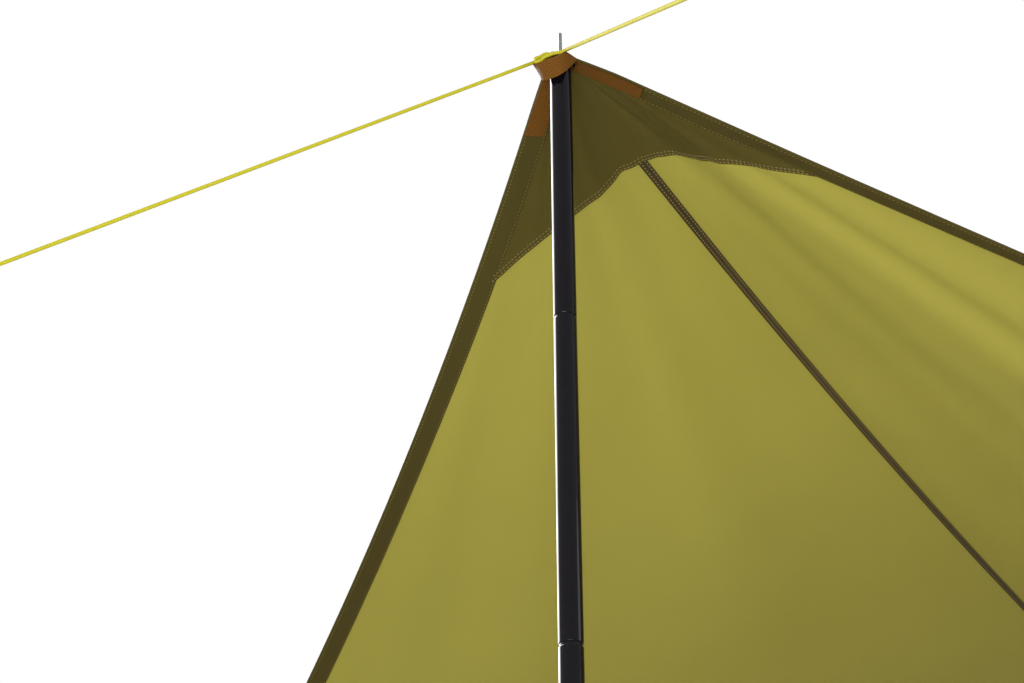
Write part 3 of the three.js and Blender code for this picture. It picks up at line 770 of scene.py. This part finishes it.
# A strip along the near edge: its inner border is mitred at the ridge
def edge_band(steps, cells):
    u = np.linspace(0.0004, 1.0, steps)
    ex, _ = edge_plan(u)
    nx, _ = edge_normal(u)
    room = np.where(nx < 0, (ex - RIDGE_GAP) / np.maximum(-nx, 1e-9), BINDING_WIDTH)
    wide = np.clip(room, 0.0002, BINDING_WIDTH)
    inward = wide[:, None] * np.linspace(0, 1, cells + 1)[None, :]
    plan = edge_places(u[:, None], inward)
    plan[..., 0] = np.maximum(plan[..., 0], RIDGE_GAP)
    return plan


# A strip along a side edge, from end to end of the near and the far hem: the distance in from
# the edge of each line along it, and how much each line is cut back at the corners
SIDE_LINES = np.array([0, 0.0118, 0.0185, 0.0253, BINDING_WIDTH])
SIDE_CUTS = np.array([0.0006, 0.0304, 0.0278, 0.0252, 0.0226])
SIDE_STATIONS = 120


def side_band():
    _, ey = edge_plan(np.array([1.0]))
    corner = abs(float(ey[0]))
    y0 = np.linspace(-corner, corner, SIDE_STATIONS)[:, None]
    y = y0 - np.sign(y0) * SIDE_CUTS * (1 - smoothstep(corner - np.abs(y0), 0, 0.12))
    w = (1 + y / corner) / 2
    x = HALF_WIDTH - SIDE_HOLLOW * arch(w) - SIDE_LINES
    return np.stack([x, y], axis=-1)


# The binding is folded over the edge: a layer under the cloth, a round nose and a layer over it
def hem_piece(name, plan):
    outer = plan[:, 0]
    away = outer - plan[:, 1]
    away /= np.linalg.norm(away, axis=1)[:, None]
    base = canopy_z(outer[:, 0], outer[:, 1])
    middle, radius = (BINDING_LOW + HEM_TOP) / 2, (HEM_TOP - BINDING_LOW) / 2
    inward = range(plan.shape[1])
    outward = inward[::-1]
    rows = [layer(plan[:, cell], BINDING_LOW) for cell in outward]
    for step in range(1, 6):
        angle = -math.pi / 2 + math.pi * step / 6
        point = outer + away * radius * math.cos(angle) * 0.8
        rows.append(np.column_stack([point, base + middle + radius * math.sin(angle)]))
    rows += [layer(plan[:, cell], HEM_TOP) for cell in inward]
    rows += [layer(plan[:, cell], HEM_TOP - BINDING_THICK) for cell in outward]
    rows += [layer(plan[:, cell], BINDING_TOP) for cell in inward]
    grid = np.stack(rows, axis=1)
    stations, around = grid.shape[:2]
    faces = tube_faces(stations, around)
    return crease(piece(name, grid.reshape(-1, 3), faces, binding_cloth), 50)


def make_bindings():
    plan = edge_band(180, 4)
    for end_name, end in ENDS:
        for side_name, side in SIDES:
            made = hem_piece(f"{end_name}_{side_name}_hem", mirrored(plan, side, end))
            dress(made, [f"{end_name}_{side_name}_edge_binding"])
    for side_name, side in SIDES:
        made = hem_piece(f"{side_name}_side_hem", mirrored(side_band(), side, -1))
        dress(made, [f"{side_name}_side_edge_binding"])


make_bindings()


# The share u of the near edge at y, found step by step
def edge_share_at_y(y):
    u = np.full_like(y, 0.1)
    for _ in range(30):
        _, ey = edge_plan(u)
        u = u + (y - ey) / (SETBACK + 4 * BOW_IN * HALF_WIDTH / EDGE_LENGTH)
    return u


# The tip patch's lower hem, as the gathered cloth lies: place across and depth from the tip
PATCH_HEM = np.array([
    (-0.262, 0.264), (-0.248, 0.257), (-0.167, 0.252), (-0.099, 0.2515), (-0.080, 0.2545),
    (-0.060, 0.2535), (-0.043, 0.2545), (-0.031, 0.2510), (-0.0195, 0.2507), (-0.006, 0.2523),
    (0.003, 0.2525), (0.022, 0.2467), (0.038, 0.2455), (0.053, 0.2464), (0.061, 0.2488),
    (0.077, 0.2462), (0.094, 0.2390), (0.113, 0.2320), (0.136, 0.2335), (0.152, 0.2400),
    (0.173, 0.2425), (0.191, 0.2478), (0.205, 0.2540), (0.216, 0.2600), (0.262, 0.262),
])


def patch_depth(t):
    across = t * PATCH_HEM[-1, 0]
    return sum(np.interp(across + shift, *PATCH_HEM.T) for shift in (-0.004, 0, 0.004)) / 3


def make_tip_patches():
    rows, columns = 60, 140
    t = np.linspace(-1, 1, columns + 1)
    t = np.sign(t) * np.abs(t) ** 1.25
    depth = patch_depth(t)
    y = -HALF_RIDGE + depth[None, :] * np.linspace(0.002, 1, rows)[:, None]
    ex, _ = edge_plan(edge_share_at_y(y))
    plan = np.stack([ex * t[None, :] * 0.998, y], axis=-1)
    for end_name, end in ENDS:
        here = mirrored(plan, 1, end)
        top = layer(here, PATCH_TOP)
        to_hem = depth[None, :] - (HALF_RIDGE - np.abs(here[..., 1]))
        hem = 0.0006 * (1 - smoothstep(to_hem, 0.013, 0.016))
        bottom = top.copy()
        bottom[..., 2] -= PATCH_THICK + hem
        made = slab(f"{end_name}_tip_patch", bottom, top, patch_cloth)
        dress(made, [f"{end_name}_apex_patch"])


make_tip_patches()


def make_corner_patches():
    count, rows = 49, 24
    reach = CORNER_REACH / EDGE_LENGTH
    u = np.linspace(1 - reach, 1, count // 2 + 1)
    near = edge_places(u, np.zeros_like(u))
    corner = near[-1]
    down = np.linspace(0, CORNER_REACH, count - count // 2)[1:]
    w = down / (2 * abs(corner[1]))
    side = np.stack([HALF_WIDTH - SIDE_HOLLOW * arch(w), corner[1] + down], axis=-1)
    outer = np.concatenate([near, side])
    start = edge_places(np.array([1 - reach]), np.array([BINDING_WIDTH]))[0]
    stop = np.array([corner[0] - BINDING_WIDTH, corner[1] + CORNER_REACH])
    share = np.linspace(0, 1, len(outer))
    inner = start[None, :] * (1 - share)[:, None] + stop[None, :] * share[:, None]
    t = np.linspace(0.002, 1, rows)[:, None, None]
    plan = outer[None, :, :] * (1 - t) + inner[None, :, :] * t
    for end_name, end in ENDS:
        for side_name, sign in SIDES:
            made = layer_slab(f"{end_name}_{side_name}_patch", mirrored(plan, sign, end),
                              PATCH_TOP, PATCH_THICK, patch_cloth)
            dress(made, [f"{end_name}_{side_name}_corner_patch"])


make_corner_patches()


# Webbing and tape have their length and width in metres as texture coordinates
def strap_uvs(rows, columns, length, width):
    along, across = np.linspace(0, length, rows), np.linspace(0, width, columns)
    return np.stack(np.meshgrid(along, across, indexing="ij"), axis=-1)


def make_tape():
    rows, columns = 260, 9
    half = HALF_RIDGE - PATCH_DEPTH - 0.0003
    y = np.linspace(-half, half, rows)
    x = np.linspace(-TAPE_WIDTH / 2, TAPE_WIDTH / 2, columns)
    plan = np.stack(np.meshgrid(x, y), axis=-1)
    made = layer_slab("seam_tape", plan, PATCH_TOP, PATCH_THICK, tape_cloth,
                      strap_uvs(rows, columns, 2 * half, TAPE_WIDTH))
    dress(made, ["ridge_seam_tape"])


make_tape()


# The corner, its eyelet's seat, and the directions from one towards the other and across that
def corner_axes():
    corner = np.array([HALF_WIDTH, SETBACK - HALF_RIDGE])
    share = 1 - CORNER_EYELET_INSET / EDGE_LENGTH
    row = CORNER_EYELET_INSET / (2 * (HALF_RIDGE - SETBACK))
    seat = canopy_point(np.array([share]), np.array([row]))[0][:2]
    toward = (seat - corner) / np.linalg.norm(seat - corner)
    return corner, seat, toward, np.array([-toward[1], toward[0]])


# The webbing tab across each corner: its end is cut to a point, so that it stays inside the hems
def make_corner_tabs():
    rows, columns = 40, 13
    corner, _, toward, across = corner_axes()
    out = np.linspace(0.008, TAB_LENGTH, rows)[:, None]
    wide = np.linspace(-WEBBING_WIDTH / 2, WEBBING_WIDTH / 2, columns)[None, :]
    room = 0.9 * out
    wide = np.clip(wide, -room, room)
    plan = corner + toward * out[..., None] + across * wide[..., None]
    uvs = strap_uvs(rows, columns, TAB_LENGTH, WEBBING_WIDTH)
    for end_name, end in ENDS:
        for side_name, sign in SIDES:
            made = layer_slab(f"{end_name}_{side_name}_tab", mirrored(plan, sign, end),
                              WEBBING_TOP, WEBBING_THICK, webbing_cloth, uvs)
            dress(made, [f"{end_name}_{side_name}_corner_tab"])


make_corner_tabs()

# The webbing round the front of each pole's top, as cross lines from its outer to its inner
# border, measured from the pole's axis and its plug's top
HOOD_LINES = [
    ((0.0246, -0.0290, -0.0110), (0.0262, -0.0020, -0.0055)),
    ((0.0140, -0.0315, -0.0143), (0.0160, -0.0180, -0.0325)),
    ((0, -0.0325, -0.0150), (0, -0.0205, -0.0375)),
    ((-0.0140, -0.0315, -0.0142), (-0.0160, -0.0180, -0.0330)),
    ((-0.0246, -0.0290, -0.0112), (-0.0280, -0.0020, -0.0120)),
]

# The straps along the two hems: where they start and end along the edge, and how they lie
STRAP_START = 0.033
STRAP_ENDS = {"right": (0.1185, 0.1215), "left": (0.1235, 0.1240)}
STRAP_WIDTH = 0.0275
STRAP_SLACK = 0.0006


def strap_sides(side_name, side):
    middle = WEBBING_TOP - WEBBING_THICK / 2 - STRAP_SLACK
    borders = []
    for inward, end in zip((0.0, STRAP_WIDTH), STRAP_ENDS[side_name]):
        u = np.linspace(STRAP_START, end, 14) / EDGE_LENGTH
        borders.append(layer(mirrored(edge_places(u, np.full_like(u, inward)), side, -1), middle))
    return borders


def make_tip_webbing():
    origin = np.array([0, -POLE_Y, PLUG_TOP_Z])
    hoods = [smooth_path([np.array(line[k]) + origin for line in HOOD_LINES], 8) for k in (0, 1)]
    borders = zip(strap_sides("right", 1), hoods, strap_sides("left", -1))
    outer, inner = [np.concatenate([right[::-1], hood, left]) for right, hood, left in borders]
    t = np.linspace(0, 1, 11)
    middle = outer[:, None, :] * (1 - t)[None, :, None] + inner[:, None, :] * t[None, :, None]
    normal = np.cross(np.gradient(middle, axis=0), np.gradient(middle, axis=1))
    normal /= np.linalg.norm(normal, axis=-1)[..., None]
    uvs = np.stack(np.meshgrid(distances(middle[:, 5]), WEBBING_WIDTH * t, indexing="ij"), axis=-1)
    for end_name, end in ENDS:
        turn = np.array([-end, -end, 1])
        upper = (middle + normal * WEBBING_THICK / 2) * turn
        lower = (middle - normal * WEBBING_THICK / 2) * turn
        made = slab(f"{end_name}_tip_strap", lower, upper, webbing_cloth, uvs)
        dress(made, [f"{end_name}_apex_webbing"])


make_tip_webbing()


# Eyelets: a rolled ring with a round flange below and above the cloth
def eyelet_outline(lower_depth):
    top = CANOPY_THICK + EYELET_GAP
    barrel = EYELET_BORE + 0.0009
    middle = (top - lower_depth) / 2
    corners = [(EYELET_BORE, middle), (EYELET_BORE, -lower_depth - EYELET_FLANGE),
               (EYELET_RIM, -lower_depth - EYELET_FLANGE), (EYELET_RIM, -lower_depth),
               (barrel, -lower_depth), (barrel, top), (EYELET_RIM, top),
               (EYELET_RIM, top + EYELET_FLANGE), (EYELET_BORE, top + EYELET_FLANGE),
               (EYELET_BORE, middle + 0.0002)]
    return rounded(corners, 0.00035, 3)


def canopy_normal(x, y):
    step = 0.004
    slope_x = float(canopy_z(x + step, y) - canopy_z(x - step, y)) / (2 * step)
    slope_y = float(canopy_z(x, y + step) - canopy_z(x, y - step)) / (2 * step)
    return Vector((-slope_x, -slope_y, 1)).normalized()


def make_eyelets():
    under_tab = EYELET_GAP - WEBBING_LOW
    tip_ring, corner_ring = eyelet_outline(EYELET_GAP - BINDING_LOW), eyelet_outline(under_tab)
    _, seat, _, _ = corner_axes()
    for end_name, end in ENDS:
        place = (0, end * POLE_Y, CANOPY_AT_PIN)
        ring = lathe(f"{end_name}_tip_ring", tip_ring, eyelet_metal, place, 36)
        dress(ring, [f"{end_name}_apex_eyelet"])
        for side_name, side in SIDES:
            low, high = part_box(f"{end_name}_{side_name}_corner_eyelet")
            up = canopy_normal(seat[0] * side, -seat[1] * end)
            turn = Vector((0, 0, 1)).rotation_difference(up).to_matrix()
            centre = (np.array(low) + np.array(high)) / 2
            place = centre - np.array(up) * (CANOPY_THICK - under_tab) / 2
            ring = lathe(f"{end_name}_{side_name}_ring", corner_ring, eyelet_metal, place, 36, turn)
            dress(ring, [f"{end_name}_{side_name}_corner_eyelet"])


make_eyelets()


# Poles: plug-in sections with a groove at each joint
def section_outline(length, is_top):
    groove, chamfer, neck, rim = 0.0008, 0.0012, 0.0026, 0.0006
    corners = [(POLE_RADIUS - POLE_WALL, 0), (POLE_RADIUS - groove, 0), (POLE_RADIUS, chamfer),
               (POLE_RADIUS, length - neck - chamfer)]
    if is_top:
        corners += [(POLE_RADIUS, length - rim), (POLE_RADIUS - rim, length)]
    else:
        corners += [(POLE_RADIUS - groove, length - neck), (POLE_RADIUS - groove, length)]
    corners.append((POLE_RADIUS - POLE_WALL, length))
    return rounded(corners, 0.0003, 2)


# Foot, plug and pin, as radius and height; the last two are measured from the plug's top
FOOT_OUTLINE = [(0.0001, 0), (0.0173, 0), (0.0173, 0.007), (0.0167, 0.008), (0.0173, 0.009),
                (0.0173, 0.016), (0.0167, 0.017), (0.0173, 0.018), (0.0173, 0.024),
                (0.0143, 0.024), (0.0143, 0.003), (0.0001, 0.003)]
PLUG_OUTLINE = [(0.0001, -0.0258), (0.0127, -0.0258), (0.0127, -0.0058), (0.014, -0.0058),
                (0.014, -0.0038), (0.008, 0), (0.0028, 0), (0.0028, -0.0158), (0.0001, -0.0158)]
PIN_OUTLINE = [(0.00005, -0.0157), (0.0025, -0.0157), (0.0025, 0.0497), (0.0014, 0.051),
               (0.00005, 0.051)]


def make_poles():
    for end_name, end in ENDS:
        y = end * POLE_Y
        for index in range(SECTION_COUNT):
            is_top = index + 1 == SECTION_COUNT
            length = TOP_SECTION_LENGTH if is_top else SECTION_LENGTH
            place = (0, y, POLE_FOOT_Z + index * SECTION_LENGTH)
            section = lathe(f"{end_name}_tube_{index + 1}", section_outline(length, is_top),
                            pole_paint, place, 64)
            dress(section, [f"{end_name}_pole_section_{index + 1}"])
        foot = lathe(f"{end_name}_foot_cap", rounded(FOOT_OUTLINE, 0.0008), black_plastic,
                     (0, y, 0), 64)
        dress(foot, [f"{end_name}_pole_foot"])
        plug = lathe(f"{end_name}_top_plug", rounded(PLUG_OUTLINE, 0.0005), black_plastic,
                     (0, y, PLUG_TOP_Z), 64)
        dress(plug, [f"{end_name}_pole_plug"])
        pin = lathe(f"{end_name}_top_pin", rounded(PIN_OUTLINE, 0.0008), pin_steel,
                    (0, y, PLUG_TOP_Z), 32)
        dress(pin, [f"{end_name}_pole_pin"])


make_poles()


# Stitches: one spindle of thread for each stitch along a row of points
def stitches(name, rows, look, pitch=0.0058, length=0.0042, thick=0.00075):
    vertices, faces = [], []
    for row in rows:
        along = distances(row)
        for place in np.arange(pitch / 2, along[-1] - length / 2, pitch):
            a, b = [np.array([np.interp(place + half, along, row[:, k]) for k in range(3)])
                    for half in (-length / 2, length / 2)]
            middle = (a + b) / 2
            direction = (b - a) / np.linalg.norm(b - a)
            side = np.cross(direction, (0, 0, 1.0))
            side /= np.linalg.norm(side)
            up = np.cross(side, direction)
            first = len(vertices)
            vertices += [a, b]
            for turn, wide in ((side, 1.0), (up, 0.8), (-side, 1.0), (-up, 0.8)):
                vertices.append(middle + turn * thick * wide)
            for k in range(4):
                now, after = first + 2 + k, first + 2 + (k + 1) % 4
                faces += [(first, after, now), (first + 1, now, after)]
    dress(piece(name, vertices, faces, look, np.zeros((len(vertices), 2))))


# A row under the binding and one over it
def binding_rows(plan):
    return [layer(plan, BINDING_LOW - STITCH_PROUD), layer(plan, HEM_TOP + STITCH_PROUD)]


def make_stitching():
    for end_name, end in ENDS:
        rows = []
        t = np.linspace(-0.86, 0.825, 160)
        for back in (STITCH_INSET, 0.0095):
            y = -HALF_RIDGE + patch_depth(t) - back
            ex, _ = edge_plan(edge_share_at_y(y))
            plan = mirrored(np.stack([ex * t, y], axis=-1), 1, end)
            rows.append(layer(plan, PATCH_LOW - 0.0008))
        stitches(f"{end_name}_patch_stitching", rows, thread)
        rows = []
        u = np.linspace(0.04, 0.99, 300)
        for _, side in SIDES:
            for inward in (STITCH_INSET, BINDING_WIDTH - 0.0025):
                rows += binding_rows(mirrored(edge_places(u, np.full_like(u, inward)), side, end))
        stitches(f"{end_name}_edge_stitching", rows, olive_thread)
    rows = []
    half = HALF_RIDGE - PATCH_DEPTH
    y = np.linspace(-half, half, 260)
    for x in (STITCH_INSET - TAPE_WIDTH / 2, TAPE_WIDTH / 2 - STITCH_INSET):
        plan = np.stack([np.full_like(y, x), y], axis=-1)
        rows += [layer(plan, PATCH_LOW - STITCH_PROUD), layer(plan, CANOPY_THICK + STITCH_PROUD)]
    stitches("ridge_stitching", rows, thread, 0.0066, 0.0046, 0.0009)
    rows = []
    for _, side in SIDES:
        for line in (1, 3):
            rows += binding_rows(mirrored(side_band()[2:-2, line], side, -1))
    stitches("side_stitching", rows, olive_thread)


make_stitching()


# Floor and studio light
def make_stage():
    made, tree, shader = material("pale_floor", (0.80, 0.80, 0.79), 0.8)
    stops = [(0.3, (0.78, 0.78, 0.77)), (0.7, (0.82, 0.82, 0.81))]
    paint(tree, shader, noise(tree, mapped(tree, "Object"), 1.5), stops)
    half = 9.0
    corners = [(-half, -half, 0), (half, -half, 0), (half, half, 0), (-half, half, 0)]
    floor = piece("floor", corners, [(0, 1, 2, 3)], made, smooth=False)
    floor.location.z = -0.0005


def add_light(name, kind, power, toward):
    data = bpy.data.lights.new(name, kind)
    data.energy = power
    made = bpy.data.objects.new(name, data)
    made.rotation_euler = Vector(toward).to_track_quat("-Z", "Y").to_euler()
    scene.collection.objects.link(made)
    return made, data


# Soft light from one direction, spread over an angle in degrees
def sun_light(name, source, spread, strength):
    _, data = add_light(name, "SUN", strength, -Vector(source))
    data.angle = math.radians(spread)


def area_light(name, place, target, width, height, power, spread=180):
    made, data = add_light(name, "AREA", power, Vector(target) - Vector(place))
    data.shape = "RECTANGLE"
    data.size, data.size_y = width, height
    data.spread = math.radians(spread)
    made.location = place
    made.visible_camera = False
    return made


# The world is white where it is seen, also in reflections, and lights the object less strongly
def make_world():
    world = bpy.data.worlds.new("studio")
    scene.world = world
    world.use_nodes = True
    tree = world.node_tree
    background = tree.nodes["Background"]
    path = node(tree, "ShaderNodeLightPath")
    seen = combine(tree, "MAXIMUM", path.outputs["Is Camera Ray"], path.outputs["Is Glossy Ray"])
    seen = combine(tree, "MAXIMUM", seen, path.outputs["Is Transmission Ray"])
    level = node(tree, "ShaderNodeMapRange")
    level.inputs["To Min"].default_value = 0.47
    level.inputs["To Max"].default_value = 1.0
    tree.links.new(seen, level.inputs["Value"])
    tree.links.new(level.outputs["Result"], background.inputs["Strength"])
    background.inputs["Color"].default_value = (1, 1, 1, 1)


# The strip lamp shows in reflections only, on the pole's left rim, and the key lamp never does
def make_lights():
    key = area_light("key", (-4.5, -4.5, 6.0), (0, 0, 1.4), 4.0, 4.0, 270)
    key.visible_glossy = False
    strip = area_light("strip", (-3.9, -1.0, 3.9), (0, -2.05, 1.9), 3.2, 4.2, 430)
    strip.visible_diffuse = False
    area_light("front_low", (0.9, -4.2, 0.35), (0.1, -1.6, 1.9), 2.2, 0.9, 18.5, 80)
    sun_light("left_fill", (-0.85, 0.45, 0.15), 30, 1.2)
    sun_light("right_fill", (0.9, 0.4, 0.15), 30, 0.5)


make_stage()
make_world()
make_lights()
